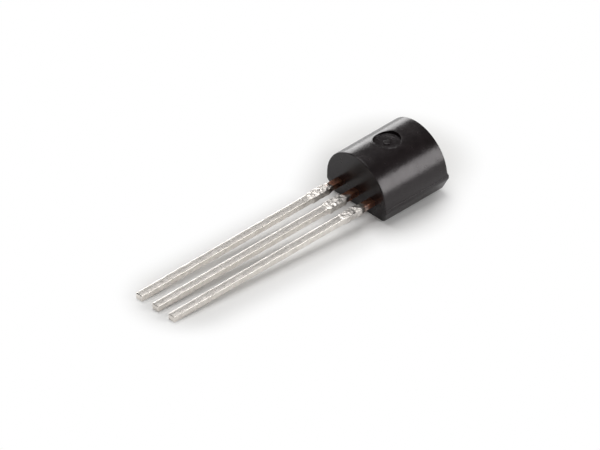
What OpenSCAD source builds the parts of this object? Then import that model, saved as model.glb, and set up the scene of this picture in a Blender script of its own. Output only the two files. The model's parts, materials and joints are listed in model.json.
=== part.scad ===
// Voltage regulator in a small moulded package with three leads, lying as it comes to rest:
// round back up, propped on the lead-end edge of its flat face and on the tips of its leads.
//
// Package axes: X runs from the lead end to the closed end, Y across, Z out of the round back.
// X = 0 is the rim at the lead end. Z = 0 is the middle of the leads and the axis of the round back.

/* [Package body] */
// Length of the body at the parting rim
body_length = 4.62; // [4.3:0.01:5.2]
// Width of the body at the parting rim
body_width = 4.64; // [4.4:0.01:5.2]
// Depth from the middle of the leads to the flat face
flat_depth = 1.04; // [0.9:0.01:1.3]
// Depth from the middle of the leads to the parting line
parting_drop = 0.1; // [0.05:0.01:0.15]
// How far each side of the flat half leans in
side_taper = 0.34; // [0.05:0.01:0.4]
// How far each end of the flat half leans in
end_taper = 0.12; // [0.05:0.01:0.3]
// Height of the straight wall just below the parting line
rim_height = 0.2; // [0.04:0.01:0.3]
// Radius of the rim's corners
rim_corner = 0.05; // [0.05:0.01:0.1]
// Radius of the corners of the flat half at its shoulder
flat_corner = 0.14; // [0.13:0.01:0.4]
// Chamfer between the shoulder and the flat face
edge_break = 0.05; // [0.03:0.01:0.12]
// Step at each side from the rim in to the round back
side_ledge = 0.02; // [0.02:0.01:0.1]
// Step at the closed end from the rim in to the round back
end_ledge = 0.1; // [0.02:0.01:0.15]
// Height above the middle of the leads to which that step slopes up
lip_rise = 0.1; // [0.05:0.01:0.2]
// Lean of the ends of the round back, in degrees
back_draft = 0.5; // [0.3:0.1:4]
// Fillet along the ends of the round back
back_fillet = 0.04; // [0.02:0.01:0.04]

/* [Ejector mark] */
// Diameter of the round recess in the back
mark_diameter = 1.57; // [1:0.01:1.9]
// Depth of the recess below the top of the back
mark_depth = 0.26; // [0.22:0.01:0.5]
// Diameter of the raised pip in the middle of the recess
pip_diameter = 0.42; // [0.2:0.01:0.7]
// Height of the pip above the floor of the recess
pip_height = 0.05; // [0.02:0.01:0.1]

/* [Leads] */
// Spacing of the leads
lead_pitch = 1.27; // [1.2:0.01:1.4]
// Length of the leads outside the body
lead_length = 14.5; // [8:0.1:20]
// Finished width of a lead
lead_width = 0.46; // [0.4:0.01:0.56]
// Finished thickness of a lead
lead_thickness = 0.38; // [0.33:0.01:0.48]
// Radius of the edges of a tinned lead
lead_corner = 0.07; // [0.03:0.01:0.12]
// Thickness of the tin on the copper strip
tin_thickness = 0.02; // [0.01:0.005:0.03]
// Length of bare copper between the body and the tin
bare_root = 0.75; // [0.3:0.05:0.9]
// Distance from the body to the stubs of the trimmed dam bar
stub_start = 0.95; // [0.95:0.05:1.5]
// Length of the stubs along the lead
stub_length = 1.25; // [0.6:0.05:1.5]
// How far the stubs stand out at each side of the centre lead
centre_stub = 0.1; // [0.06:0.01:0.3]
// How far the stubs stand out at each side of an outer lead
outer_stub = 0.06; // [0.02:0.01:0.15]

/* [Leadframe inside the body] */
// Distance from the lead end to the bond posts
post_start = 0.6; // [0.5:0.05:0.9]
// Length of the bond posts
post_length = 1.4; // [1.2:0.05:1.6]
// Moulding compound left beside the bond posts
post_cover = 0.55; // [0.5:0.01:0.6]
// Moulding compound left beyond the die paddle
paddle_cover = 0.95; // [0.7:0.05:1.1]
// Width of the paddle beside the die
paddle_margin = 0.17; // [0.1:0.01:0.2]
// Length of the paddle beyond the die, where the ground wire lands
ground_land = 0.5; // [0.4:0.05:0.6]

/* [Die and bond wires] */
// Side of the square silicon die
die_size = 1.1; // [0.8:0.05:1.2]
// Thickness of the die
die_thickness = 0.25; // [0.15:0.01:0.3]
// Thickness of the bond under the die
attach_thickness = 0.03; // [0.02:0.005:0.05]
// Width of the bond that shows round the die
attach_margin = 0.05; // [0.02:0.01:0.08]
// Distance of the bond pads from the edges of the die
pad_inset = 0.15; // [0.1:0.01:0.2]
// Diameter of the bond wires
wire_diameter = 0.04; // [0.025:0.005:0.06]
// Height of the loops of the bond wires
loop_height = 0.22; // [0.15:0.01:0.3]
// Straight rise of a bond wire from its pad
wire_rise = 0.06; // [0.04:0.01:0.1]

/* [Hidden] */
$fn = 64;
hull_sides = 32;
wire_sides = 8;
wire_steps = 10;

// Bare copper strip that the leads are stamped from
strip_width = lead_width - 2 * tin_thickness;
strip_thickness = lead_thickness - 2 * tin_thickness;
strip_face = -strip_thickness / 2;

// Round back, from its end faces on the axis to the centres of its end fillets
back_radius = body_width / 2 - side_ledge;
back_end = body_length - end_ledge;
fillet_radius_at = back_radius - back_fillet;
fillet_setback = back_fillet / cos(back_draft) + fillet_radius_at * tan(back_draft);
back_edge_end = back_end - back_radius * tan(back_draft);

// Depth at which the flat half starts to lean in
rim_foot = parting_drop + rim_height;

// Stations along the leadframe
post_end = post_start + post_length;
post_inner = lead_pitch - strip_width / 2;
post_outer = body_width / 2 - post_cover;
paddle_end = body_length - paddle_cover;
die_end = paddle_end - ground_land;
die_start = die_end - die_size;
paddle_start = die_start - paddle_margin;
paddle_width = die_size + 2 * paddle_margin;

// Levels below the leadframe, where the die faces the flat half of the body
attach_face = strip_face - attach_thickness;
die_face = attach_face - die_thickness;

// Ends of the bond wires: a pad on the die, then a landing on the leadframe
side_pad = [die_start + pad_inset, die_size / 2 - pad_inset];
side_landing = [post_start + post_length / 2, (post_inner + post_outer) / 2];
ground_pad = [die_end - pad_inset, 0];
ground_landing = [die_end + ground_land / 2, 0];

// At rest the flat face leans until the tips of the leads touch down
prop_edge = end_taper + edge_break;
rest_tilt = atan((flat_depth - lead_thickness / 2) / (lead_length + prop_edge));
rest_lift = flat_depth * cos(rest_tilt) - prop_edge * sin(rest_tilt);
rest_reach_low = -lead_length * cos(rest_tilt) - lead_thickness / 2 * sin(rest_tilt);
rest_reach_high = body_length * cos(rest_tilt) + rim_foot * sin(rest_tilt);

// Placing

// Moves the package axes to the pose at rest, with the origin at the bottom centre
module lie_down() {
    translate([-(rest_reach_low + rest_reach_high) / 2, 0, rest_lift])
        rotate([0, -rest_tilt, 0])
            children();
}

// Turns X to Y, Y to Z and Z to X
module along_length() {
    rotate(120, [1, 1, 1]) children();
}

module other_side() {
    mirror([0, 1, 0]) children();
}

// Package body

// Depth-wise share of a taper, from the foot of the rim down to the flat face
function lean(taper, depth) = taper * (depth - rim_foot) / (flat_depth - rim_foot);

// Corner posts that hang from the parting line to a depth, set in from the rim
module corner_posts(end_inset, side_inset, corner, depth) {
    for (x = [end_inset + corner, body_length - end_inset - corner])
        for (side = [-1, 1])
            translate([x, side * (body_width / 2 - side_inset - corner), -depth])
                cylinder(r = corner, h = depth - parting_drop, $fn = hull_sides);
}

module flat_half() {
    shoulder = flat_depth - edge_break;
    hull() {
        corner_posts(0, 0, rim_corner, rim_foot);
        corner_posts(lean(end_taper, shoulder), lean(side_taper, shoulder), flat_corner, shoulder);
        corner_posts(prop_edge, side_taper + edge_break, flat_corner - edge_break, flat_depth);
    }
}

// Half profile of the round back: radius across, length up, with a fillet at each end
module back_profile() {
    low = fillet_setback;
    high = back_end - fillet_setback;
    touch_radius = fillet_radius_at + back_fillet * sin(back_draft);
    touch_rise = back_fillet * cos(back_draft);
    polygon([
        [0, 0],
        [touch_radius, low - touch_rise],
        [back_radius, low],
        [back_radius, high],
        [touch_radius, high + touch_rise],
        [0, back_end],
    ]);
    for (rise = [low, high])
        translate([fillet_radius_at, rise])
            circle(r = back_fillet);
}

// Dome of the back, with a straight skirt from its axis down to the parting line
module round_back() {
    along_length()
        rotate_extrude(angle = 180)
            back_profile();
    translate([0, 0, -parting_drop])
        linear_extrude(parting_drop) {
            rotate(-90) back_profile();
            other_side() rotate(-90) back_profile();
        }
}

// Pair of upright posts whose outer sides touch an end and both sides of the body
module end_posts(end, half_width, corner, bottom, top) {
    for (side = [-1, 1])
        translate([end - corner, side * (half_width - corner), bottom])
            cylinder(r = corner, h = top - bottom, $fn = hull_sides);
}

// Lip that slopes from the closed end of the back down to the rim
module closed_end_lip() {
    hull() {
        end_posts(body_length, body_width / 2, rim_corner, -rim_foot, -parting_drop);
        end_posts(back_edge_end, back_radius, back_fillet, -parting_drop, lip_rise);
    }
}

module ejector_mark() {
    floor_level = back_radius - mark_depth;
    translate([body_length / 2, 0, floor_level])
        difference() {
            cylinder(d = mark_diameter, h = 2 * mark_depth);
            cylinder(d = pip_diameter, h = pip_height);
        }
}

module moulding() {
    difference() {
        union() {
            flat_half();
            round_back();
            closed_end_lip();
        }
        ejector_mark();
    }
}

module package_body() {
    color("#1d1b1c")
        difference() {
            moulding();
            left_lead();
            centre_lead();
            right_lead();
            silicon_die();
            die_attach();
            left_bond_wire();
            right_bond_wire();
            ground_bond_wire();
        }
}

// Leads

// Section of a tinned lead with rounded edges
module tinned_section(width) {
    half_width = width / 2 - lead_corner;
    half_thickness = lead_thickness / 2 - lead_corner;
    square([width, 2 * half_thickness], center = true);
    square([2 * half_width, lead_thickness], center = true);
    for (side = [-1, 1])
        for (face = [-1, 1])
            translate([side * half_width, face * half_thickness])
                circle(r = lead_corner);
}

module tinned_length(from, to, width) {
    translate([-to, 0, 0])
        along_length()
            linear_extrude(to - from)
                tinned_section(width);
}

// Straight lead with the stubs left where the dam bar was trimmed away
module tinned_lead(stub) {
    tinned_length(bare_root, lead_length, lead_width);
    tinned_length(stub_start, stub_start + stub_length, lead_width + 2 * stub);
}

// Flat pattern stamped from the copper strip
module stamping() {
    translate([0, 0, strip_face])
        linear_extrude(strip_thickness)
            children();
}

module outer_lead() {
    translate([0, lead_pitch, 0])
        tinned_lead(outer_stub);
    stamping() {
        translate([-bare_root, post_inner])
            square([bare_root + post_end, strip_width]);
        translate([post_start, post_inner])
            square([post_length, post_outer - post_inner]);
    }
}

module left_lead() {
    color("#c9c6c0") outer_lead();
}

module right_lead() {
    color("#c9c6c0") other_side() outer_lead();
}

module centre_lead() {
    color("#c9c6c0") {
        tinned_lead(centre_stub);
        stamping() {
            translate([-bare_root, -strip_width / 2])
                square([bare_root + paddle_start, strip_width]);
            translate([paddle_start, -paddle_width / 2])
                square([paddle_end - paddle_start, paddle_width]);
        }
    }
}

// Die and its bond

module die_plate(margin, thickness, level) {
    side = die_size + 2 * margin;
    translate([die_start - margin, -side / 2, level])
        cube([side, side, thickness]);
}

module silicon_die() {
    color("#6c727c") die_plate(0, die_thickness, die_face);
}

module die_attach() {
    color("#a9a8a4") die_plate(attach_margin, attach_thickness, attach_face);
}

// Bond wires

// Path of a wire in its own upright plane, as [run, level] from the pad to the landing
function wire_path(span) = [
    [0, die_face],
    for (step = [0:wire_steps])
        let (turn = 180 * step / wire_steps, share = step / wire_steps)
        [
            span * (1 - cos(turn)) / 2,
            die_face + (strip_face - die_face) * share - wire_rise - loop_height * sin(turn),
        ],
    [span, strip_face],
];

function side_normal(a, b) = [a[1] - b[1], b[0] - a[0]] / norm(b - a);

// Direction and stretch of the joint between the stretches before and after a point
function mitre(path, i) =
    let (
        last = len(path) - 1,
        before = side_normal(path[max(i - 1, 0)], path[max(i, 1)]),
        after = side_normal(path[min(i, last - 1)], path[min(i + 1, last)])
    )
    (before + after) / (1 + before * after);

function wire_ring(path, i) =
    let (joint = mitre(path, i), radius = wire_diameter / 2)
    [
        for (corner = [0:wire_sides - 1])
            let (across = radius * cos(360 * corner / wire_sides))
            [
                path[i][0] + across * joint[0],
                radius * sin(360 * corner / wire_sides),
                path[i][1] + across * joint[1],
            ],
    ];

function wire_faces(rings) = [
    [for (corner = [wire_sides - 1:-1:0]) corner],
    [for (corner = [0:wire_sides - 1]) (rings - 1) * wire_sides + corner],
    for (ring = [0:rings - 2])
        for (corner = [0:wire_sides - 1])
            let (next = (corner + 1) % wire_sides, row = ring * wire_sides)
            [row + corner, row + next, row + wire_sides + next, row + wire_sides + corner],
];

module bond_wire(pad, landing) {
    run = landing - pad;
    path = wire_path(norm(run));
    points = [for (i = [0:len(path) - 1]) each wire_ring(path, i)];
    translate([pad[0], pad[1], 0])
        rotate(atan2(run[1], run[0]))
            polyhedron(points, wire_faces(len(path)));
}

module left_bond_wire() {
    color("gold") bond_wire(side_pad, side_landing);
}

module right_bond_wire() {
    color("gold") other_side() bond_wire(side_pad, side_landing);
}

module ground_bond_wire() {
    color("gold") bond_wire(ground_pad, ground_landing);
}

lie_down() package_body();
lie_down() left_lead();
lie_down() centre_lead();
lie_down() right_lead();
lie_down() silicon_die();
lie_down() die_attach();
lie_down() left_bond_wire();
lie_down() right_bond_wire();
lie_down() ground_bond_wire();
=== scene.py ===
"""Looks of a small moulded voltage regulator with three tinned leads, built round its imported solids.

Shapes are written in millimetres in the package's own axes: X runs from the lead end of the body to its
closed end, Y across the leads and Z out of the round back. Z = 0 is the middle of the leads and the axis of
the round back, and X = 0 is the rim at the lead end. PackageFrame turns them into the row frame, in metres.
"""
from __future__ import annotations

import json
import logging
import math
from dataclasses import dataclass, field, replace
from enum import Enum
from typing import NamedTuple, Sequence

import bmesh
import bpy
from mathutils import Matrix, Vector, noise


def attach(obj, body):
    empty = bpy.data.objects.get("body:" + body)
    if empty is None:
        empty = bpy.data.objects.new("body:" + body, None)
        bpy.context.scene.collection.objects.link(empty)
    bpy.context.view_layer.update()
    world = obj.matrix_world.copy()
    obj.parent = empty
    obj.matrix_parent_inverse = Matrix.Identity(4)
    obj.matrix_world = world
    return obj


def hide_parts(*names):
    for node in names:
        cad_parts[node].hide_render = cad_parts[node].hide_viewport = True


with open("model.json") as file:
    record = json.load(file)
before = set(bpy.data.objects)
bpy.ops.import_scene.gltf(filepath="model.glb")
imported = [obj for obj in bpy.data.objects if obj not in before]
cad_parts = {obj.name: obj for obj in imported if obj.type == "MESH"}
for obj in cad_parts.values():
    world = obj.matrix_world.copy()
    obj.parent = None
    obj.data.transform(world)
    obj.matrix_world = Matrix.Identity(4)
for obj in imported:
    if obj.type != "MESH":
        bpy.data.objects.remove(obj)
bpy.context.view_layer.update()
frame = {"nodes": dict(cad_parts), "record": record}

Point = tuple[float, float, float]
Colour = tuple[float, float, float, float]
Socket = bpy.types.NodeSocket
Object = bpy.types.Object
Material = bpy.types.Material

MM = 0.001
ROOT = "root"
PHOTO_SIZE = (600, 450)
LOG = logging.getLogger("regulator")


def smooth_step(low: float, high: float, value: float) -> float:
    """Give the share of an eased rise, from 0 at low to 1 at high, that a value has reached."""
    share = min(max((value - low) / (high - low), 0.0), 1.0)
    return share * share * (3.0 - 2.0 * share)


def arc(centre: tuple[float, float], radius: float, start: float, steps: int) -> list[tuple[float, float]]:
    """Walk a quarter circle in a plane.

    Args:
        centre: Middle of the circle.
        radius: Its radius.
        start: Angle of the first point, in degrees.
        steps: How many steps the quarter is cut into.

    Returns:
        The points from the start angle to 90 degrees past it, both ends included.
    """
    angles = [math.radians(start + 90.0 * step / steps) for step in range(steps + 1)]
    return [(centre[0] + radius * math.cos(a), centre[1] + radius * math.sin(a)) for a in angles]


def direction(azimuth: float, elevation: float) -> Vector:
    """Point away from the part.

    Args:
        azimuth: Bearing, in degrees from +X towards +Y.
        elevation: Height above the horizon, in degrees.

    Returns:
        The direction, of length 1.
    """
    bearing, height = math.radians(azimuth), math.radians(elevation)
    level = math.cos(height)
    return Vector((math.cos(bearing) * level, math.sin(bearing) * level, math.sin(height)))


def put_in_scene(name: str, data: bpy.types.ID) -> Object:
    """Make an object and link it to the scene.

    Args:
        name: Name of the object.
        data: Its mesh, lamp or camera.

    Returns:
        The new object.
    """
    made = bpy.data.objects.new(name, data)
    bpy.context.scene.collection.objects.link(made)
    return made


def inner_shares(count: int) -> list[float]:
    """Cut a stretch into equal lengths and give the shares of the cuts, without its ends."""
    return [step / count for step in range(1, count)]


@dataclass(frozen=True)
class PackageFrame:
    """Place of the package's axes in the row frame.

    Attributes:
        matrix: Turns package millimetres into row metres.
    """

    matrix: Matrix

    @classmethod
    def from_record(cls, record: dict, half_length: float, flat_depth: float) -> PackageFrame:
        """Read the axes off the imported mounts.

        Args:
            record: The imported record, with the flat face and the row of leads as mounts.
            half_length: Half the body's length, which is where the flat face's mount lies.
            flat_depth: Depth of the flat face below the middle of the leads.

        Returns:
            The frame of the package at rest.
        """
        mounts = {mount["name"]: mount for mount in record["mounts"]}
        along = -Vector(mounts["lead_row"]["axis"]).normalized()
        upward = -Vector(mounts["flat_front"]["axis"]).normalized()
        across = upward.cross(along)
        origin = Vector(mounts["flat_front"]["pos_m"]) + (flat_depth * upward - half_length * along) * MM
        turn = Matrix((along, across, upward)).transposed().to_4x4()
        return cls(Matrix.Translation(origin) @ turn @ Matrix.Scale(MM, 4))


class MeshSketch:
    """Collects rings of points and the faces between them, and makes one closed mesh of them."""

    WELD = 1e-4
    SHARP_ANGLE = math.radians(40.0)

    def __init__(self) -> None:
        """Start with no points and no faces."""
        self.points: list[Point] = []
        self.faces: list[list[int]] = []

    def ring(self, points: Sequence[Point]) -> list[int]:
        """Add points.

        Args:
            points: The points, in order.

        Returns:
            Their numbers.
        """
        first = len(self.points)
        self.points.extend(points)
        return list(range(first, len(self.points)))

    def bridge(self, first: Sequence[int], second: Sequence[int], closed: bool = True) -> None:
        """Join two rings of equal length with quads.

        Args:
            first: Numbers of one ring's points.
            second: Numbers of the other ring's points, in the same order.
            closed: Whether the last points join on to the first ones.
        """
        count = len(first)
        for i in range(count if closed else count - 1):
            j = (i + 1) % count
            self.faces.append([first[i], first[j], second[j], second[i]])

    def loft(self, rings: Sequence[Sequence[Point]]) -> list[list[int]]:
        """Add closed rings and join each to the next.

        Args:
            rings: The rings, of equal length.

        Returns:
            The numbers of each ring's points.
        """
        numbered = [self.ring(points) for points in rings]
        for first, second in zip(numbered, numbered[1:]):
            self.bridge(first, second)
        return numbered

    def cap(self, ring: Sequence[int]) -> None:
        """Close a flat ring with one face."""
        self.faces.append(list(ring))

    def build(self, name: str, package: PackageFrame) -> Object:
        """Weld the sketch and put it in the scene.

        Args:
            name: Name of the piece.
            package: Frame that the points are written in.

        Returns:
            The finished object, at the origin, with its place in its mesh.
        """
        form = bmesh.new()
        corners = [form.verts.new(point) for point in self.points]
        for face in self.faces:
            form.faces.new([corners[i] for i in face])
        bmesh.ops.remove_doubles(form, verts=form.verts, dist=self.WELD)
        bmesh.ops.recalc_face_normals(form, faces=form.faces)
        form.transform(package.matrix)
        mesh = bpy.data.meshes.new(name)
        form.to_mesh(mesh)
        form.free()
        mesh.shade_smooth()
        mesh.set_sharp_from_angle(angle=self.SHARP_ANGLE)
        piece = put_in_scene(name, mesh)
        weighted = piece.modifiers.new("flat_normals", "WEIGHTED_NORMAL")
        weighted.keep_sharp = True
        return piece


class Shader:
    """Builds one node material, a node at a time."""

    NOISE_RANGE = (0.3, 0.7)

    def __init__(self, name: str) -> None:
        """Start an empty material.

        Args:
            name: Name of the material.
        """
        self.material = bpy.data.materials.new(name)
        self.material.use_nodes = True
        self.tree = self.material.node_tree
        self.tree.nodes.clear()
        self.output = self.tree.nodes.new("ShaderNodeOutputMaterial")

    def node(self, kind: str, sockets: dict | None = None, **settings: object) -> bpy.types.Node:
        """Add a node.

        Args:
            kind: Blender's name of the node's type.
            sockets: Input name or number to a value, or to the socket that feeds it.
            settings: Properties of the node itself.

        Returns:
            The new node.
        """
        made = self.tree.nodes.new(kind)
        for name, value in settings.items():
            setattr(made, name, value)
        for name, value in (sockets or {}).items():
            if isinstance(value, Socket):
                self.tree.links.new(value, made.inputs[name])
            else:
                made.inputs[name].default_value = value
        return made

    def vector(self, operation: str, first: Socket, second: Socket | Point) -> bpy.types.Node:
        """Add a calculation with two places."""
        return self.node("ShaderNodeVectorMath", {0: first, 1: second}, operation=operation)

    def value(self, operation: str, first: Socket, second: Socket | float = 0.0) -> Socket:
        """Work out a value from one or two others."""
        return self.node("ShaderNodeMath", {0: first, 1: second}, operation=operation).outputs[0]

    def ramp(
        self, value: Socket, start: float, end: float,
        low: float = 0.0, high: float = 1.0, kind: str = "LINEAR",
    ) -> Socket:
        """Turn a value between a start and an end into one between low and high.

        Args:
            value: The value to turn.
            start: Where the rise starts.
            end: Where the rise ends.
            low: What the start becomes.
            high: What the end becomes.
            kind: Blender's name of the rise's form.

        Returns:
            The new value.
        """
        sockets = {"Value": value, "From Min": start, "From Max": end, "To Min": low, "To Max": high}
        return self.node("ShaderNodeMapRange", sockets, interpolation_type=kind).outputs["Result"]

    def millimetres(self, stretch: Point = (1.0, 1.0, 1.0)) -> Socket:
        """Give the object's own coordinates in millimetres, stretched along its axes."""
        place = self.node("ShaderNodeTexCoord").outputs["Object"]
        return self.vector("MULTIPLY", place, tuple(share / MM for share in stretch)).outputs[0]

    def noise(self, where: Socket, scale: float, detail: float = 3.0) -> Socket:
        """Add a noise of so many grains to the millimetre and return its value."""
        sockets = {"Vector": where, "Scale": scale, "Detail": detail}
        return self.node("ShaderNodeTexNoise", sockets).outputs["Fac"]

    def distance(self, where: Socket, start: Point, end: Point) -> Socket:
        """Measure from a place to a straight line.

        Args:
            where: The place.
            start: One end of the line.
            end: Its other end.

        Returns:
            The distance.
        """
        run = Vector(end) - Vector(start)
        offset = self.vector("SUBTRACT", where, start).outputs[0]
        reach = self.vector("DOT_PRODUCT", offset, run / run.length_squared).outputs["Value"]
        share = self.node("ShaderNodeClamp", {"Value": reach}).outputs[0]
        nearest = self.node("ShaderNodeVectorMath", {0: run, "Scale": share}, operation="SCALE").outputs[0]
        return self.vector("DISTANCE", offset, nearest).outputs["Value"]

    def band(self, value: Socket, low: float = 0.0, high: float = 1.0) -> Socket:
        """Spread a noise value, which stays near a half, over a range from low to high."""
        return self.ramp(value, *self.NOISE_RANGE, low, high)

    def mix(self, share: Socket, first: Colour | Socket, second: Colour | Socket) -> Socket:
        """Blend two colours by a share and return the colour."""
        return self.node("ShaderNodeMix", {"Factor": share, 6: first, 7: second}, data_type="RGBA").outputs[2]

    def blend(self, share: Socket, first: float | Socket, second: float | Socket) -> Socket:
        """Blend two values by a share and return the value."""
        return self.node("ShaderNodeMix", {"Factor": share, 2: first, 3: second}).outputs[0]

    def attribute(self, name: str) -> Socket:
        """Read a value that is stored at the points of the mesh."""
        return self.node("ShaderNodeAttribute", attribute_name=name).outputs["Fac"]

    def bump(self, height: Socket, depth: float, base: Socket | None = None) -> Socket:
        """Turn a height into a bumped normal.

        Args:
            height: The height, from 0 to 1.
            depth: What a height of 1 stands for, in millimetres.
            base: A bumped normal that this one is laid over.

        Returns:
            The bumped normal.
        """
        sockets = {"Height": height, "Distance": depth * MM, "Strength": 1.0}
        if base is not None:
            sockets["Normal"] = base
        return self.node("ShaderNodeBump", sockets).outputs["Normal"]

    def surface(self, sockets: dict) -> Material:
        """Finish the material with one all-round surface shader.

        Args:
            sockets: Input name to a value, or to the socket that feeds it.

        Returns:
            The material.
        """
        shader = self.node("ShaderNodeBsdfPrincipled", sockets)
        self.tree.links.new(shader.outputs["BSDF"], self.output.inputs["Surface"])
        return self.material


@dataclass(frozen=True)
class MouldCompound:
    """Black epoxy compound, satin from the mould, with a faint mottle of its filler.

    Attributes:
        dark: Its darker colour.
        light: Its lighter colour.
        sheen: Tint of its reflections.
        refraction: Its refractive index.
        roughness: Range of its roughness.
        grain_depth: Depth of its fine grain, in millimetres.
        texture_depth: Depth of the mould's texture, in millimetres.
        gloss: Strength of its reflections.
        end_gloss: The same on its duller ends.
        mottle_scale: Mottles to the millimetre.
        grain_scale: Fine grains to the millimetre.
        texture_scale: Waves of the mould's texture to the millimetre.
    """

    dark: Colour = (0.0062, 0.004, 0.0043, 1.0)
    light: Colour = (0.0104, 0.0071, 0.0075, 1.0)
    sheen: Colour = (1.0, 0.955, 0.965, 1.0)
    refraction: float = 1.44
    roughness: tuple[float, float] = (0.21, 0.28)
    grain_depth: float = 0.0018
    texture_depth: float = 0.004
    gloss: float = 0.5
    end_gloss: float = 0.32
    mottle_scale: float = 2.2
    grain_scale: float = 26.0
    texture_scale: float = 5.0

    END_FACING = (0.85, 0.95)

    def build(self) -> Material:
        """Make the finish.

        Returns:
            The material.
        """
        shader = Shader("mould_compound")
        where = shader.millimetres()
        mottle = shader.noise(where, self.mottle_scale, detail=5.0)
        grain = shader.bump(shader.noise(where, self.grain_scale, detail=4.0), self.grain_depth)
        texture = shader.noise(where, self.texture_scale)
        facing = shader.node("ShaderNodeTexCoord").outputs["Normal"]
        facing = shader.node("ShaderNodeSeparateXYZ", {0: facing}).outputs["X"]
        ends = shader.ramp(shader.value("ABSOLUTE", facing), *self.END_FACING)
        return shader.surface({
            "Base Color": shader.mix(shader.band(mottle), self.dark, self.light),
            "Roughness": shader.band(mottle, *self.roughness),
            "IOR": self.refraction,
            "Specular IOR Level": shader.blend(ends, self.gloss, self.end_gloss),
            "Specular Tint": self.sheen,
            "Normal": shader.bump(texture, self.texture_depth, grain),
        })


@dataclass(frozen=True)
class TinnedCopper:
    """Copper strip with a dull coat of solder tin that stops short of the body.

    Attributes:
        tin: Colour of bright tin.
        tin_dull: Colour of dull tin.
        solder: Colour of the solder lumps.
        copper: Colour of bare copper.
        copper_dark: Colour of tarnished copper.
        roughness: Range of the tin's roughness.
        solder_roughness: Range of the solder's roughness.
        streak_depth: Depth of the drawn streaks, in millimetres.
        solder_depth: Depth of the solder's grain, in millimetres.
        drawn: How the streaks are drawn out along the axes.
        blotch_scale: Blotches to the millimetre.
        streak_scale: Streaks to the millimetre.
        grain_scale: Grains of the solder to the millimetre.
    """

    tin: Colour = (0.86, 0.82, 0.77, 1.0)
    tin_dull: Colour = (0.71, 0.67, 0.625, 1.0)
    solder: Colour = (0.56, 0.53, 0.5, 1.0)
    copper: Colour = (0.58, 0.28, 0.165, 1.0)
    copper_dark: Colour = (0.24, 0.1, 0.08, 1.0)
    roughness: tuple[float, float] = (0.27, 0.3)
    solder_roughness: tuple[float, float] = (0.3, 0.44)
    streak_depth: float = 0.0016
    solder_depth: float = 0.05
    drawn: Point = (0.8, 1.0, 1.0)
    blotch_scale: float = 3.5
    streak_scale: float = 11.0
    grain_scale: float = 5.5

    def build(self) -> Material:
        """Make the finish.

        Returns:
            The material.
        """
        shader = Shader("tinned_copper")
        where = shader.millimetres()
        cover = shader.attribute(LeadForm.TIN_ATTRIBUTE)
        solder = shader.attribute(LeadForm.SOLDER_ATTRIBUTE)
        blotch = shader.noise(where, self.blotch_scale, detail=5.0)
        streak = shader.noise(shader.millimetres(self.drawn), self.streak_scale)
        grain = shader.value("MULTIPLY", shader.noise(where, self.grain_scale, detail=2.0), solder)
        patch = shader.band(blotch)
        tin = shader.mix(solder, shader.mix(patch, self.tin, self.tin_dull), self.solder)
        copper = shader.mix(patch, self.copper, self.copper_dark)
        return shader.surface({
            "Base Color": shader.mix(cover, copper, tin),
            "Metallic": 1.0,
            "Roughness": shader.blend(
                solder, shader.band(streak, *self.roughness), shader.band(blotch, *self.solder_roughness)
            ),
            "Normal": shader.bump(grain, self.solder_depth, shader.bump(streak, self.streak_depth)),
        })


@dataclass(frozen=True)
class InnerFinish:
    """Finish of a piece that is sealed inside the body.

    Attributes:
        name: Name of the material.
        first: One of its two colours.
        second: The other colour.
        metallic: Share of metal.
        roughness: Range of its roughness.
        grain: Grains to the millimetre.
        depth: Depth of the grain, in millimetres.
    """

    name: str
    first: Colour
    second: Colour
    metallic: float
    roughness: tuple[float, float]
    grain: float
    depth: float = 0.001

    def build(self) -> Material:
        """Make the finish.

        Returns:
            The material.
        """
        shader = Shader(self.name)
        cloud = shader.noise(shader.millimetres(), self.grain, detail=4.0)
        return shader.surface({
            "Base Color": shader.mix(shader.band(cloud), self.first, self.second),
            "Metallic": self.metallic,
            "Roughness": shader.band(cloud, *self.roughness),
            "Normal": shader.bump(cloud, self.depth),
        })


class SealedPiece(Enum):
    """Pieces inside the body that keep their solids, with the finish of each."""

    SILICON_DIE = "silicon_die"
    DIE_ATTACH = "die_attach"
    LEFT_BOND_WIRE = "left_bond_wire"
    RIGHT_BOND_WIRE = "right_bond_wire"
    GROUND_BOND_WIRE = "ground_bond_wire"

    def finish(self) -> InnerFinish:
        """Say what the piece is finished in.

        Returns:
            Its finish.
        """
        if self is SealedPiece.SILICON_DIE:
            grey = (0.14, 0.15, 0.17, 1), (0.2, 0.21, 0.25, 1)
            return InnerFinish("silicon", *grey, metallic=0.6, roughness=(0.15, 0.25), grain=9.0)
        if self is SealedPiece.DIE_ATTACH:
            silver = (0.5, 0.49, 0.47, 1), (0.62, 0.61, 0.58, 1)
            return InnerFinish("die_bond", *silver, metallic=0.8, roughness=(0.5, 0.65), grain=18.0)
        gold = (0.83, 0.61, 0.22, 1), (0.9, 0.68, 0.28, 1)
        return InnerFinish("gold_wire", *gold, metallic=1.0, roughness=(0.2, 0.3), grain=30.0)


class Inset(NamedTuple):
    """How far an outline of the flat half lies in from the rim at its ends and sides."""

    lead_end: float
    closed_end: float
    side: float


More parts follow.
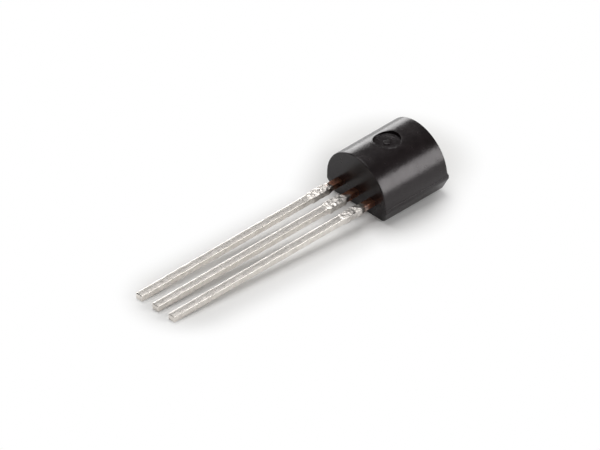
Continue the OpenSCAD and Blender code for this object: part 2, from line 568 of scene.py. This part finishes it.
@dataclass(frozen=True)
class EjectorMark:
    """Round recess that an ejector pin leaves in the back, with a small raised pip.

    Attributes:
        radius: Radius of the recess at its rim.
        depth: Depth of its floor below the top of the back.
        lip: Rounding of its rim.
        foot: Rounding between its wall and its floor.
        pip_radius: Radius of the pip.
        pip_height: Height of the pip.
        pip_round: Rounding of the pip's edge.
    """

    radius: float = 0.785
    depth: float = 0.26
    lip: float = 0.015
    foot: float = 0.06
    pip_radius: float = 0.21
    pip_height: float = 0.05
    pip_round: float = 0.03

    def profile(self, steps: int) -> list[tuple[float, float]]:
        """Walk from the foot of the wall in to the edge of the pip.

        Args:
            steps: How many steps a rounding has.

        Returns:
            Pairs of radius and height above the floor.
        """
        foot = arc((self.radius - self.lip - self.foot, self.foot), self.foot, 0.0, steps)
        foot = [(radius, 2.0 * self.foot - height) for radius, height in foot]
        edge = (self.pip_radius - self.pip_round, self.pip_height - self.pip_round)
        pip = arc(edge, self.pip_round, 0.0, steps)
        return [*foot, (self.pip_radius, 0.0), *pip]


@dataclass(frozen=True)
class MouldedBody:
    """The moulded body: a tapered flat half, a ledge at the parting line and a round back.

    Attributes:
        length: Length at the parting rim.
        width: Width at the parting rim.
        flat_depth: Depth from the middle of the leads to the flat face.
        parting_drop: Depth from the middle of the leads to the parting line.
        side_taper: How far each side of the flat half leans in.
        end_taper: How far each end of the flat half leans in.
        rim_height: Height of the straight wall below the parting line.
        rim_corner: Radius of the rim's corners.
        rim_round: Rounding of the rim's upper edge at the sides and the closed end.
        flat_corner: Radius of the flat half's corners at its shoulder.
        edge_break: Rounding between the shoulder and the flat face.
        side_ledge: Step at each side from the rim in to the round back.
        end_ledge: Step at the closed end from the rim in to the round back.
        lip_rise: Height above the middle of the leads to which that step slopes up.
        back_draft: Lean of the ends of the back, in degrees.
        back_fillet: Fillet along the ends of the back.
        mark: The ejector mark.
        arc_steps: Steps of a quarter-round edge.
        columns: Stretches along the straight part of the back.
        rows: Stretches round the back.
        patch: Stretches, along and round the back, of the patch that holds the mark.
        end_cuts: Stretches across an end.
        lean_cuts: Stretches down the leaning walls of the flat half.
        patch_cuts: Stretches from the patch's edge in to the mark.
    """

    length: float = 4.62
    width: float = 4.64
    flat_depth: float = 1.04
    parting_drop: float = 0.1
    side_taper: float = 0.34
    end_taper: float = 0.12
    rim_height: float = 0.2
    rim_corner: float = 0.05
    rim_round: float = 0.018
    flat_corner: float = 0.14
    edge_break: float = 0.05
    side_ledge: float = 0.02
    end_ledge: float = 0.1
    lip_rise: float = 0.1
    back_draft: float = 0.5
    back_fillet: float = 0.04
    mark: EjectorMark = field(default_factory=EjectorMark)
    arc_steps: int = 6
    columns: int = 40
    rows: int = 60
    patch: int = 24
    end_cuts: int = 12
    lean_cuts: int = 4
    patch_cuts: int = 5

    NAME = "moulded_body"
    NODE = "package_body"
    SLOT = "mould_compound"

    @property
    def back_radius(self) -> float:
        """Radius of the round back."""
        return self.width / 2 - self.side_ledge

    @property
    def rim_foot(self) -> float:
        """Depth at which the flat half starts to lean in."""
        return self.parting_drop + self.rim_height

    def lean(self, taper: float, depth: float) -> float:
        """Give the part of a taper that is reached at a depth below the middle of the leads."""
        return taper * (depth - self.rim_foot) / (self.flat_depth - self.rim_foot)

    def outline(self, inset: Inset, corner: float, level: float) -> list[Point]:
        """Walk a rounded rectangle round the flat half.

        Args:
            inset: How far its ends and sides lie in from the rim.
            corner: Radius of its corners.
            level: Its height.

        Returns:
            Its points: a side, an end, the other side and the other end, each followed by a corner.
        """
        low, high = inset.lead_end + corner, self.length - inset.closed_end - corner
        half = self.width / 2 - inset.side - corner
        along = [low + share * (high - low) for share in inner_shares(self.columns)]
        across = [half * (2.0 * share - 1.0) for share in inner_shares(self.end_cuts)]
        flat = [
            *[(x, -half - corner) for x in along],
            *arc((high, -half), corner, -90.0, self.arc_steps),
            *[(high + corner, y) for y in across],
            *arc((high, half), corner, 0.0, self.arc_steps),
            *[(x, half + corner) for x in reversed(along)],
            *arc((low, half), corner, 90.0, self.arc_steps),
            *[(low - corner, y) for y in reversed(across)],
            *arc((low, -half), corner, 180.0, self.arc_steps),
        ]
        return [(x, y, level) for x, y in flat]

    def flat_half(self) -> list[list[Point]]:
        """Stack the outlines of the flat half.

        Returns:
            The outlines, from the flat face up to the ledge.
        """
        rings = []
        for across, rise in arc((0.0, self.edge_break), self.edge_break, -90.0, self.arc_steps):
            depth = self.flat_depth - rise
            broken = self.edge_break - across
            end = self.lean(self.end_taper, depth) + broken
            inset = Inset(end, end, self.lean(self.side_taper, depth) + broken)
            rings.append(self.outline(inset, self.flat_corner - broken, -depth))
        foot = self.outline(Inset(0.0, 0.0, 0.0), self.rim_corner, -self.rim_foot)
        rings += [self.blend_outline(rings[-1], foot, share) for share in inner_shares(self.lean_cuts)]
        rings.append(foot)
        edge = (-self.rim_round, -self.parting_drop - self.rim_round)
        for across, level in arc(edge, self.rim_round, 0.0, self.arc_steps // 2):
            rings.append(self.outline(Inset(0.0, -across, -across), self.rim_corner + across, level))
        return rings

    @staticmethod
    def blend_outline(first: list[Point], second: list[Point], share: float) -> list[Point]:
        """Give the outline that lies a share of the way from one to another."""
        return [tuple(a + share * (b - a) for a, b in zip(p, q)) for p, q in zip(first, second)]

    def end_face(self, level: float) -> float:
        """Give where the lead-end face of the back lies along X at a height."""
        return (level + self.parting_drop) * math.tan(math.radians(self.back_draft))

    def lip_inset(self, level: float) -> float:
        """Give how far the closed end lies in from the rim at a height, where the lip slopes out to it."""
        share = (level + self.parting_drop) / (self.lip_rise + self.parting_drop)
        return self.rim_round + (self.end_ledge - self.rim_round) * min(max(share, 0.0), 1.0)

    def back_row(self, angle: float, drop: float = 0.0) -> list[Point]:
        """Walk along the back from one end face to the other.

        Args:
            angle: Angle round the back, from 0 at the -Y side to 180 at the +Y side.
            drop: How far the row lies below its place on the dome.

        Returns:
            The points of an end fillet, the straight part and the other end fillet.
        """
        side, rise = -math.cos(math.radians(angle)), math.sin(math.radians(angle))
        fillet = self.back_fillet
        inner = self.back_radius - fillet
        near = []
        for across, along in arc((inner, -fillet), fillet, 0.0, self.arc_steps):
            level = across * rise - drop
            near.append((self.end_face(level) - along, across * side, level))
        far = [(self.length - self.lip_inset(z) - x, y, z) for x, y, z in near]
        start, stop = near[0], far[0]
        straight = [
            (start[0] + share * (stop[0] - start[0]), start[1], start[2])
            for share in inner_shares(self.columns)
        ]
        return [*reversed(near), *straight, *far]

    def on_back(self, x: float, y: float) -> Point:
        """Lift a point of the plan on to the round back."""
        return (x, y, math.sqrt(self.back_radius ** 2 - y * y))

    def mark_rings(self, boundary: Sequence[Point]) -> list[list[Point]]:
        """Lead a patch of the back in to the ejector mark and down to the edge of its pip.

        Args:
            boundary: Points round the patch's edge, on the back.

        Returns:
            Rings of as many points, from just inside the edge to the top of the pip.
        """
        mark, middle = self.mark, self.length / 2
        bearings = [math.atan2(y, x - middle) for x, y, _ in boundary]

        def ring(radius: float, drop: float) -> list[Point]:
            """Walk round the mark, so far below the back."""
            plan = [(middle + radius * math.cos(b), radius * math.sin(b)) for b in bearings]
            return [(x, y, self.on_back(x, y)[2] - drop) for x, y in plan]

        def level_ring(radius: float, level: float) -> list[Point]:
            """Walk round the mark on one level."""
            return [(x, y, level) for x, y, _ in ring(radius, 0.0)]

        rim = ring(mark.radius, 0.0)
        rings = []
        for share in inner_shares(self.patch_cuts):
            plan = self.blend_outline(list(boundary), rim, share)
            rings.append([self.on_back(x, y) for x, y, _ in plan])
        rings.append(rim)
        for across, rise in arc((mark.radius, -mark.lip), mark.lip, 90.0, self.arc_steps)[1:]:
            rings.append(ring(across, -rise))
        floor = self.back_radius - mark.depth
        rings += [level_ring(radius, floor + height) for radius, height in mark.profile(self.arc_steps // 2)]
        return rings

    def sketch(self) -> MeshSketch:
        """Lay out the whole skin of the body.

        Returns:
            The closed sketch.
        """
        sketch = MeshSketch()
        flat_half = sketch.loft(self.flat_half())
        sketch.cap(flat_half[0])
        rows = [sketch.ring(self.back_row(180.0 * row / self.rows)) for row in range(self.rows + 1)]
        low, high = (sketch.ring(self.back_row(angle, self.parting_drop)) for angle in (0.0, 180.0))
        sketch.bridge(low, rows[0], closed=False)
        sketch.bridge(high, rows[-1], closed=False)
        half = self.back_radius - self.back_fillet
        cuts = [half * (2.0 * share - 1.0) for share in inner_shares(self.end_cuts)]
        near_line = sketch.ring([(0.0, y, -self.parting_drop) for y in cuts])
        lip = [[first[-1], *self.lip_line(sketch, first[-1], cuts), last[-1]]
               for first, last in ((low, high), (rows[0], rows[-1]), (rows[1], rows[-2]))]
        far_line = lip[0][1:-1]
        for first, second in zip(lip, lip[1:]):
            sketch.bridge(first, second, closed=False)
        edge = self.arc_steps + 1
        footprint = [
            *low[edge:-edge], *low[-edge:], *far_line, *reversed(high[-edge:]),
            *reversed(high[edge:-edge]), *reversed(high[:edge]), *reversed(near_line), *low[:edge],
        ]
        sketch.bridge(flat_half[-1], footprint)
        sketch.cap([low[0], *[row[0] for row in rows], high[0], *reversed(near_line)])
        sketch.cap([*[row[-1] for row in rows[1:-1]], *reversed(lip[-1][1:-1])])
        self.back_skin(sketch, rows)
        return sketch

    @staticmethod
    def lip_line(sketch: MeshSketch, corner: int, cuts: Sequence[float]) -> list[int]:
        """Carry a corner of the closed end straight across to a row of cuts, and number the new points."""
        x, _, z = sketch.points[corner]
        return sketch.ring([(x, y, z) for y in cuts])

    def back_skin(self, sketch: MeshSketch, rows: list[list[int]]) -> None:
        """Join the rows of the back, with the patch that holds the ejector mark.

        Args:
            sketch: The sketch that holds the rows.
            rows: Numbers of the points of each row.
        """
        left = (len(rows[0]) - 1 - self.patch) // 2
        right = left + self.patch
        low = (self.rows - self.patch) // 2
        high = low + self.patch
        for row in range(self.rows):
            for column in range(len(rows[0]) - 1):
                if low <= row < high and left <= column < right:
                    continue
                first, second = rows[row], rows[row + 1]
                sketch.faces.append([first[column], first[column + 1], second[column + 1], second[column]])
        boundary = [
            *rows[low][left:right],
            *[row[right] for row in rows[low:high]],
            *reversed(rows[high][left + 1:right + 1]),
            *[row[left] for row in reversed(rows[low + 1:high + 1])],
        ]
        rings = sketch.loft(self.mark_rings([sketch.points[i] for i in boundary]))
        sketch.bridge(boundary, rings[0])
        sketch.cap(rings[-1])

    def build(self, package: PackageFrame) -> Object:
        """Make the body and dress it.

        Args:
            package: Frame that the body is written in.

        Returns:
            The body, which stands for its solid.
        """
        piece = self.sketch().build(self.NAME, package)
        piece.data.materials.append(MouldCompound().build())
        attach(piece, ROOT)
        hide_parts(self.NODE)
        return piece


class LeadPlace(Enum):
    """The three leads, each with its side of the middle plane."""

    LEFT = 1
    CENTRE = 0
    RIGHT = -1

    @property
    def node(self) -> str:
        """Name of the lead's solid."""
        return f"{self.name.lower()}_lead"


@dataclass(frozen=True)
class Section:
    """Cross-section of a lead at one station.

    Attributes:
        x: Where it lies along the lead.
        low: Its lower side across the leads.
        high: Its upper side across the leads.
        half_thickness: Half its thickness.
        corner: Radius of its edges.
        crown: How far its upper and lower faces swell in the middle.
        lumps: How far solder lumps stand out or fall in.
    """

    x: float
    low: float
    high: float
    half_thickness: float
    corner: float
    crown: float = 0.0
    lumps: float = 0.0

    def points(self, arc_steps: int, cuts: int) -> list[tuple[float, float, float, float]]:
        """Walk round the section.

        Args:
            arc_steps: Steps of each rounded edge.
            cuts: Stretches of each flat side.

        Returns:
            For each point, its Y and Z and the Y and Z of its outward direction.
        """
        low, high = self.low + self.corner, self.high - self.corner
        edge = self.half_thickness - self.crown
        rise = edge - self.corner
        corners = [(high, rise, 0.0), (low, rise, 90.0), (low, -rise, 180.0), (high, -rise, 270.0)]
        walk = []
        for index, (y, z, start) in enumerate(corners):
            round_edge = arc((0.0, 0.0), 1.0, start, arc_steps)
            walk += [(y + self.corner * dy, z + self.corner * dz, dy, dz) for dy, dz in round_edge]
            dy, dz = round_edge[-1]
            next_y, next_z, _ = corners[(index + 1) % len(corners)]
            for share in inner_shares(cuts):
                side_y, side_z = y + share * (next_y - y), z + share * (next_z - z)
                walk.append((side_y + self.corner * dy, side_z + self.corner * dz, dy, dz))
        middle, half = (self.low + self.high) / 2, (self.high - self.low) / 2
        return [
            (y, z + self.crown * (1.0 - ((y - middle) / half) ** 2) * z / edge, dy, dz)
            for y, z, dy, dz in walk
        ]


@dataclass(frozen=True)
class LeadForm:
    """One lead: a straight tinned shank, the stubs of the dam bar, a bare root and the inner stamping.

    Attributes:
        place: Which of the three leads it is.
        pitch: Spacing of the leads.
        length: Length outside the body.
        width: Finished width.
        thickness: Finished thickness.
        corner: Radius of the edges.
        crown: Swell of the tin in the middle of the upper and lower faces.
        tin_thickness: Thickness of the tin.
        bare_root: Length of bare copper beside the body.
        root_slope: How far the end of the tin slopes, away from the body and towards it.
        tin_fade: Length over which the tin thins out, either way from there.
        tin_wander: How far the edge of the tin wanders.
        wander_scale: Waves of that edge to the millimetre.
        stub_start: Distance from the body to the stubs.
        stub_length: Length of the stubs.
        stub: How far the stubs stand out at each side.
        stub_round: Length over which a stub rises.
        tip_bevel: Bevel left by the cut at the tip.
        shank_step: Spacing of the stations along the shank.
        ripple: Height of the ripples in the tin.
        lumps: Height of the solder lumps at the stubs.
        lump_fade: How far the lumps fade out, away from the body and towards it.
        lump_stretch: How the lumps are drawn out along the lead.
        lump_scales: Coarse and fine lumps to the millimetre.
        fine_share: Height of the fine lumps against the coarse ones.
        seed: Where the lumps are read, across the leads and up.
        inner: Stamped rectangles inside the body, as start, stop, low and high.
        arc_steps: Steps of a rounded edge.
        cuts: Stretches of a flat side.
    """

    place: LeadPlace
    stub: float
    inner: tuple[tuple[float, float, float, float], ...]
    pitch: float = 1.27
    length: float = 14.5
    width: float = 0.46
    thickness: float = 0.38
    corner: float = 0.014
    crown: float = 0.016
    tin_thickness: float = 0.02
    bare_root: float = 0.75
    root_slope: tuple[float, float] = (0.12, 0.04)
    tin_fade: float = 0.2
    tin_wander: float = 0.25
    wander_scale: float = 3.7
    stub_start: float = 0.95
    stub_length: float = 1.25
    stub_round: float = 0.14
    tip_bevel: float = 0.025
    shank_step: float = 0.035
    ripple: float = 0.003
    lumps: float = 0.03
    lump_fade: tuple[float, float] = (0.2, 0.3)
    lump_stretch: float = 0.6
    lump_scales: tuple[float, float] = (3.2, 8.0)
    fine_share: float = 0.6
    seed: tuple[float, float] = (7.3, 3.1)
    arc_steps: int = 4
    cuts: int = 8

    TIN_ATTRIBUTE = "tin"
    SOLDER_ATTRIBUTE = "solder"
    SLOT = "tinned_copper"

    @property
    def middle(self) -> float:
        """Middle of the lead across the leads, on the left-hand side of the middle plane."""
        return self.pitch * abs(self.place.value)

    @property
    def stub_span(self) -> tuple[float, float]:
        """Where the stubs start and stop along the lead."""
        return -self.stub_start, -self.stub_start - self.stub_length

    def stub_share(self, x: float) -> float:
        """Say how much of a stub stands out.

        Args:
            x: Place along the lead.

        Returns:
            The share, from 0 to 1.
        """
        half = self.stub_round / 2
        start, stop = self.stub_span
        return smooth_step(stop - half, stop + half, x) - smooth_step(start - half, start + half, x)

    def tinned_section(self, x: float) -> Section:
        """Cut across the tinned lead.

        Args:
            x: Place along the lead.

        Returns:
            The section there.
        """
        half = self.width / 2 + self.stub * self.stub_share(x)
        away, towards = self.root_slope
        root = smooth_step(-self.bare_root - away, -self.bare_root + towards, x)
        half -= self.tin_thickness * root
        thickness = self.thickness / 2 - self.tin_thickness * root
        return Section(
            x, self.middle - half, self.middle + half, thickness,
            self.corner, self.crown * (1.0 - root),
            self.ripple * (1.0 - root) + self.lumps * self.solder_share(x),
        )

    def solder_share(self, x: float) -> float:
        """Say how thickly solder lies on the lead.

        Args:
            x: Place along the lead.

        Returns:
            The share, from 0 to 1.
        """
        start, stop = self.stub_span
        away, towards = self.lump_fade
        return smooth_step(stop - away, stop + away, x) * (1.0 - smooth_step(start, start + towards, x))

    def sections(self) -> list[Section]:
        """List the sections of the lead.

        Returns:
            The sections, from the tip to the far end of the stamping.
        """
        tip = replace(self.tinned_section(-self.length), lumps=0.0)
        bevel = self.tip_bevel
        low, high, half = tip.low + bevel, tip.high - bevel, tip.half_thickness - bevel
        sections = [replace(tip, low=low, high=high, half_thickness=half), replace(tip, x=tip.x + bevel)]
        count = round((self.length - bevel) / self.shank_step)
        start = -self.length + bevel
        sections += [self.tinned_section(start + share * -start) for share in inner_shares(count)]
        strip_thickness = self.thickness / 2 - self.tin_thickness
        for begin, end, low, high in self.inner:
            for x in (begin, end):
                sections.append(Section(x, low, high, strip_thickness, self.corner))
        return sections

    def ring(self, section: Section) -> list[Point]:
        """Walk round a section, with its ripples and lumps.

        Args:
            section: The section.

        Returns:
            Its points, on the lead's own side of the middle plane.
        """
        side = -1.0 if self.place is LeadPlace.RIGHT else 1.0
        seed = Vector((0.0, self.seed[0] * self.place.value, self.seed[1]))
        coarse, fine = self.lump_scales
        ring = []
        for y, z, dy, dz in section.points(self.arc_steps, self.cuts):
            where = Vector((self.lump_stretch * section.x, y, z))
            swell = noise.noise(where * coarse + seed) + self.fine_share * noise.noise(where * fine - seed)
            push = section.lumps * swell
            ring.append((section.x, side * (y + push * dy), z + push * dz))
        return ring

    def build(self, package: PackageFrame, finish: Material) -> Object:
        """Make the lead and dress it.

        Args:
            package: Frame that the lead is written in.
            finish: Material of the lead.

        Returns:
            The lead, which stands for its solid.
        """
        sketch = MeshSketch()
        rings = sketch.loft([self.ring(section) for section in self.sections()])
        sketch.cap(rings[0])
        sketch.cap(rings[-1])
        piece = sketch.build(f"{self.place.name.lower()}_tinned_lead", package)
        self.paint(piece, package)
        piece.data.materials.append(finish)
        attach(piece, ROOT)
        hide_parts(self.place.node)
        return piece

    def paint(self, piece: Object, package: PackageFrame) -> None:
        """Store the shares of tin and of solder lumps at each point of a lead.

        Args:
            piece: The lead.
            package: Frame that the lead is written in.
        """
        back = package.matrix.inverted()
        places = [back @ vertex.co for vertex in piece.data.vertices]
        start, stop = -self.bare_root - self.tin_fade, -self.bare_root + self.tin_fade
        tin = []
        for place in places:
            ragged = place.x + self.tin_wander * noise.noise(place * self.wander_scale)
            tin.append(1.0 - smooth_step(start, stop, ragged))
        solder = [self.solder_share(place.x) for place in places]
        for name, values in ((self.TIN_ATTRIBUTE, tin), (self.SOLDER_ATTRIBUTE, solder)):
            attribute = piece.data.attributes.new(name, "FLOAT", "POINT")
            attribute.data.foreach_set("value", values)


@dataclass(frozen=True)
class Leadframe:
    """The three leads, with the bond posts and the die paddle that they end in.

    Attributes:
        strip_half: Half the width of the bare strip.
        pitch: Spacing of the leads.
        root_end: Where the bare root ends, outside the body.
        post_start: Where the bond posts start.
        post_end: Where the bond posts end.
        post_outer: Outer side of the bond posts.
        paddle_start: Where the die paddle starts.
        paddle_end: Where the die paddle ends.
        paddle_half: Half the width of the die paddle.
        outer_stub: How far the stubs of the outer leads stand out.
        centre_stub: How far the stubs of the centre lead stand out.
    """

    strip_half: float = 0.21
    pitch: float = 1.27
    root_end: float = 0.0
    post_start: float = 0.6
    post_end: float = 2.0
    post_outer: float = 1.77
    paddle_start: float = 1.9
    paddle_end: float = 3.67
    paddle_half: float = 0.72
    outer_stub: float = 0.06
    centre_stub: float = 0.1

    def form(self, place: LeadPlace) -> LeadForm:
        """Say how one of the leads is shaped.

        Args:
            place: Which lead it is.

        Returns:
            The lead's form.
        """
        if place is LeadPlace.CENTRE:
            strip = (self.root_end, self.paddle_start, -self.strip_half, self.strip_half)
            paddle = (self.paddle_start, self.paddle_end, -self.paddle_half, self.paddle_half)
            return LeadForm(place, self.centre_stub, (strip, paddle))
        low = self.pitch - self.strip_half
        strip = (self.root_end, self.post_start, low, self.pitch + self.strip_half)
        post = (self.post_start, self.post_end, low, self.post_outer)
        return LeadForm(place, self.outer_stub, (strip, post))

    def build(self, package: PackageFrame) -> list[Object]:
        """Make the three leads in the package's frame, from left to right."""
        finish = TinnedCopper().build()
        return [self.form(place).build(package, finish) for place in LeadPlace]


@dataclass(frozen=True)
class PhotoCamera:
    """Long-lens camera at the photograph's angle.

    Attributes:
        azimuth: Bearing of the camera from the part, in degrees from +X towards +Y.
        elevation: Height above the horizon, in degrees.
        roll: Turn about the line of sight, in degrees.
        distance: Distance to the aim, in metres.
        aim: A point of the part, in the row frame, in metres.
        aim_pixel: Where the photograph shows that point.
        pixels_per_mm: Scale of the photograph at the aim.
    """

    azimuth: float = -133.42
    elevation: float = 34.97
    roll: float = 1.23
    distance: float = 1.092
    aim: Point = (0.001925, 0.0, 0.001006)
    aim_pixel: tuple[float, float] = (314.63, 213.11)
    pixels_per_mm: float = 18.81

    SENSOR = 36.0
    CLIP = (0.01, 10.0)

    def build(self) -> Object:
        """Make the camera and give it to the scene.

        Returns:
            The camera.
        """
        back = direction(self.azimuth, self.elevation)
        right = (-back).cross(Vector((0.0, 0.0, 1.0))).normalized()
        up = right.cross(-back)
        turn = math.radians(self.roll)
        lean, hold = math.sin(turn), math.cos(turn)
        right, up = hold * right + lean * up, hold * up - lean * right
        wide, high = PHOTO_SIZE
        metre = MM / self.pixels_per_mm
        shift = (wide / 2 - self.aim_pixel[0]) * right - (high / 2 - self.aim_pixel[1]) * up
        data = bpy.data.cameras.new("photo_camera")
        data.sensor_width = self.SENSOR
        data.lens = self.SENSOR * self.distance / (wide * metre)
        data.clip_start, data.clip_end = (share * self.distance for share in self.CLIP)
        camera = put_in_scene("photo_camera", data)
        stand = Vector(self.aim) + shift * metre + back * self.distance
        turned = Matrix((right, up, back)).transposed().to_4x4()
        camera.matrix_world = Matrix.Translation(stand) @ turned
        bpy.context.scene.camera = camera
        return camera


@dataclass(frozen=True)
class SoftBox:
    """A soft studio lamp, aimed at the body.

    Attributes:
        name: Name of the lamp.
        azimuth: Bearing of the lamp from the part, in degrees from +X towards +Y.
        elevation: Height of its middle above the horizon, in degrees.
        distance: Distance from the part, in metres.
        width: Its width, in metres.
        height: Its height, in metres.
        radiance: Brightness of its face, where 1 is white.
    """

    name: str
    azimuth: float
    elevation: float
    distance: float
    width: float
    height: float
    radiance: float

    def build(self, aim: Vector) -> Object:
        """Hang the lamp.

        Args:
            aim: Point of the part that it shines on.

        Returns:
            The lamp.
        """
        away = direction(self.azimuth, self.elevation)
        data = bpy.data.lights.new(self.name, "AREA")
        data.shape = "RECTANGLE"
        data.size, data.size_y = self.width, self.height
        data.energy = self.radiance * math.pi * self.width * self.height
        lamp = put_in_scene(self.name, data)
        lamp.location = aim + away * self.distance
        lamp.rotation_mode = "QUATERNION"
        lamp.rotation_quaternion = (-away).to_track_quat("-Z", "Y")
        return lamp


@dataclass(frozen=True)
class WhiteTable:
    """Plain white table, drawn a little grey round the part as painted shade that keeps the real cast
    shadows, and fading to a pure white ground away from the part.

    Attributes:
        reach: Half its size, in metres.
        colour: Its colour under light.
        painted_shade_colour: Its colour where the camera or a shiny surface sees it near the part: a grey
            below the white ground, which is painted shade, with the real cast shadows kept in it.
        painted_shade_lead_line: Start and end of the line along the leads that the painted shade and the kept
            shadows stay close to, in millimetres.
        painted_shade_body_line: Start and end of such a line below the body.
        painted_shade_reach: How much further the painted shade reaches round the body.
        fade: Where the painted shade fades to white, in millimetres from those lines.
    """

    reach: float = 1.5
    colour: Colour = (0.8, 0.8, 0.8, 1.0)
    # Greyer than the white ground: painted shade round the part, over which the real cast shadows are kept.
    painted_shade_colour: Colour = (0.83, 0.825, 0.815, 1.0)
    painted_shade_lead_line: tuple[Point, Point] = ((-7.4, -0.2, 0.0), (6.0, 0.0, 0.0))
    painted_shade_body_line: tuple[Point, Point] = ((6.4, 0.0, 0.0), (9.4, 1.8, 0.0))
    painted_shade_reach: float = 1.1
    fade: tuple[float, float] = (1.6, 4.0)

    def build(self) -> Object:
        """Lay the table.

        Returns:
            The table.
        """
        mesh = bpy.data.meshes.new("table")
        reach = self.reach
        corners = [(-reach, -reach, 0), (reach, -reach, 0), (reach, reach, 0), (-reach, reach, 0)]
        mesh.from_pydata(corners, [], [(0, 1, 2, 3)])
        table = put_in_scene("table", mesh)
        mesh.materials.append(self.finish())
        return table

    def finish(self) -> Material:
        """Make the table's material, with painted shade round the part that fades to white.

        Returns:
            The material.
        """
        shader = Shader("white_table")
        path = shader.node("ShaderNodeLightPath").outputs
        seen = shader.value("MAXIMUM", path["Is Camera Ray"], path["Is Glossy Ray"])
        seen = shader.value("MAXIMUM", seen, path["Is Transmission Ray"])
        # Camera and shiny rays see the table in the grey of its painted shade near the part.
        colour = shader.mix(seen, self.colour, self.painted_shade_colour)
        lit = shader.node("ShaderNodeBsdfDiffuse", {"Color": colour})
        ground = shader.node("ShaderNodeEmission", {"Color": (1.0, 1.0, 1.0, 1.0), "Strength": 1.0})
        where = shader.millimetres()
        beside = shader.value("SUBTRACT", shader.distance(where, *self.painted_shade_body_line), self.painted_shade_reach)
        away = shader.value("MINIMUM", shader.distance(where, *self.painted_shade_lead_line), beside)
        # Painted shade near the part, fading to the pure white ground further off; the real cast shadows stay
        # inside it.
        share = shader.ramp(away, *self.fade, kind="SMOOTHSTEP")
        share = shader.value("MULTIPLY", share, seen)
        mixed = shader.node("ShaderNodeMixShader", {0: share, 1: lit.outputs[0], 2: ground.outputs[0]})
        shader.tree.links.new(mixed.outputs[0], shader.output.inputs["Surface"])
        return shader.material


@dataclass(frozen=True)
class Studio:
    """The plain studio round the part: table, lamps and air.

    Attributes:
        air: Brightness of the air that lights the part.
        air_colour: Colour of that air.
        lamps: The soft lamps.
    """

    air: float = 0.2
    air_colour: Colour = (0.8, 0.8, 0.8, 1.0)
    lamps: tuple[SoftBox, ...] = (
        SoftBox("key_box", 84.0, 72.0, 0.30, 0.20, 0.22, 3.7),
        SoftBox("side_box", -55.3, 19.5, 0.30, 0.12, 0.17, 6.6),
        SoftBox("back_box", 57.6, 9.5, 0.35, 0.70, 0.15, 4.4),
        SoftBox("front_box", 225.0, 45.0, 0.40, 0.25, 0.25, 1.1),
    )

    def build(self, aim: Vector) -> None:
        """Set the studio up.

        Args:
            aim: Point of the part that the lamps shine on.
        """
        for lamp in self.lamps:
            lamp.build(aim)
            LOG.info("lamp %s", lamp.name)
        WhiteTable().build()
        world = bpy.data.worlds.new("air")
        bpy.context.scene.world = world
        world.use_nodes = True
        tree = world.node_tree
        tree.nodes.clear()
        glow = tree.nodes.new("ShaderNodeBackground")
        glow.inputs["Color"].default_value = self.air_colour
        glow.inputs["Strength"].default_value = self.air
        output = tree.nodes.new("ShaderNodeOutputWorld")
        tree.links.new(glow.outputs["Background"], output.inputs["Surface"])
        bpy.context.scene.view_settings.view_transform = "Standard"


def dress_sealed_pieces(nodes: dict[str, Object]) -> None:
    """Give the solids inside the body their finishes.

    Args:
        nodes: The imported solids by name.
    """
    finishes: dict[str, Material] = {}
    for piece in SealedPiece:
        finish = piece.finish()
        if finish.name not in finishes:
            finishes[finish.name] = finish.build()
        solid = nodes[piece.value]
        solid.data.materials.clear()
        solid.data.materials.append(finishes[finish.name])
        LOG.info("solid %s in %s", piece.value, finish.name)


def main() -> None:
    """Build the part piece by piece, then its studio and camera."""
    logging.basicConfig(level=logging.INFO, format="%(name)s: %(message)s")
    body = MouldedBody()
    package = PackageFrame.from_record(frame["record"], body.length / 2, body.flat_depth)
    PhotoCamera().build()
    LOG.info("piece %s", body.build(package).name)
    for lead in Leadframe().build(package):
        LOG.info("piece %s", lead.name)
    dress_sealed_pieces(frame["nodes"])
    Studio().build(package.matrix @ Vector((body.length / 2, 0.0, 0.0)))


if __name__ == "__main__":
    main()
